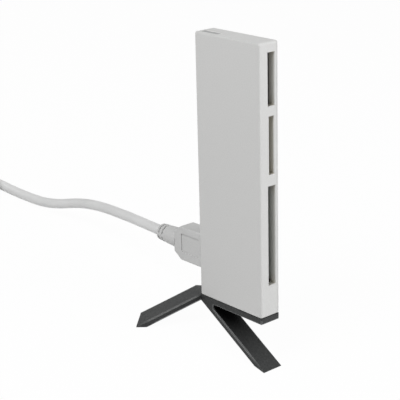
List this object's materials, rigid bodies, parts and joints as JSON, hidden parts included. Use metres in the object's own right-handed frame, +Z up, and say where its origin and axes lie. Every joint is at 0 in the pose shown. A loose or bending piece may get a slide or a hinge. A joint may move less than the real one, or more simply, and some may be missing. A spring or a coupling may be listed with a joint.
{
  "type": "memory card reader",
  "caption": "Slim upright desktop memory card reader with card slots along a narrow side, leaning back on a cast tripod stand, with a detachable cable plugged into the opposite side.",
  "frame": {"origin": "on the floor, midway between the front toe and the rear top edge of the reader, in the reader's middle plane; measured without the cable", "axes": "+Z up; +X towards the user and the card slots; +Y towards the reader's rear wide face, so the wide front face looks along -Y"},
  "size_m": [0.234, 0.1115, 0.1388],
  "materials": {
    "pale_plastic": "fine satin",
    "stand_metal": "dark gunmetal, finely textured, on cast zinc alloy",
    "cord_plastic": "satin, flexible",
    "plug_plastic": "satin, moulded",
    "tie_plastic": "matt",
    "plated_steel": "bright, plated",
    "gold_contact": "gold plated",
    "black_plastic": "matt, moulded",
    "white_insulator": "matt, moulded",
    "board_green": "solder resist",
    "chip_black": "matt",
    "ceramic_tan": "matt",
    "light_smoke": "smoked, clear",
    "lamp_white": "clear"
  },
  "bodies": {
    "root": {"front_cover": "pale_plastic", "rear_cover": "pale_plastic", "main_board": "board_green", "board_screws": "plated_steel", "wide_socket_frame": "black_plastic", "wide_socket_pins": "gold_contact", "slim_socket_frame": "black_plastic", "slim_socket_contacts": "gold_contact", "slim_socket_shell": "plated_steel", "stick_socket_frame": "black_plastic", "stick_socket_contacts": "gold_contact", "stick_socket_shell": "plated_steel", "controller_chip": "chip_black", "controller_leads": "plated_steel", "memory_chip": "chip_black", "memory_leads": "plated_steel", "chip_capacitors": "ceramic_tan", "crystal_can": "plated_steel", "status_led": "lamp_white", "light_pipe": "light_smoke", "port_shell": "plated_steel", "port_insulator": "black_plastic", "port_contacts": "gold_contact", "tripod_stand": "stand_metal", "reader_plug_body": "plug_plastic", "reader_plug_shell": "plated_steel", "reader_plug_core": "black_plastic", "cord_coil": "cord_plastic", "coil_tie": "tie_plastic", "cord": "cord_plastic", "host_plug_body": "plug_plastic", "host_plug_shell": "plated_steel", "host_plug_tongue": "white_insulator", "host_plug_contacts": "gold_contact"}
  },
  "joints": []
}
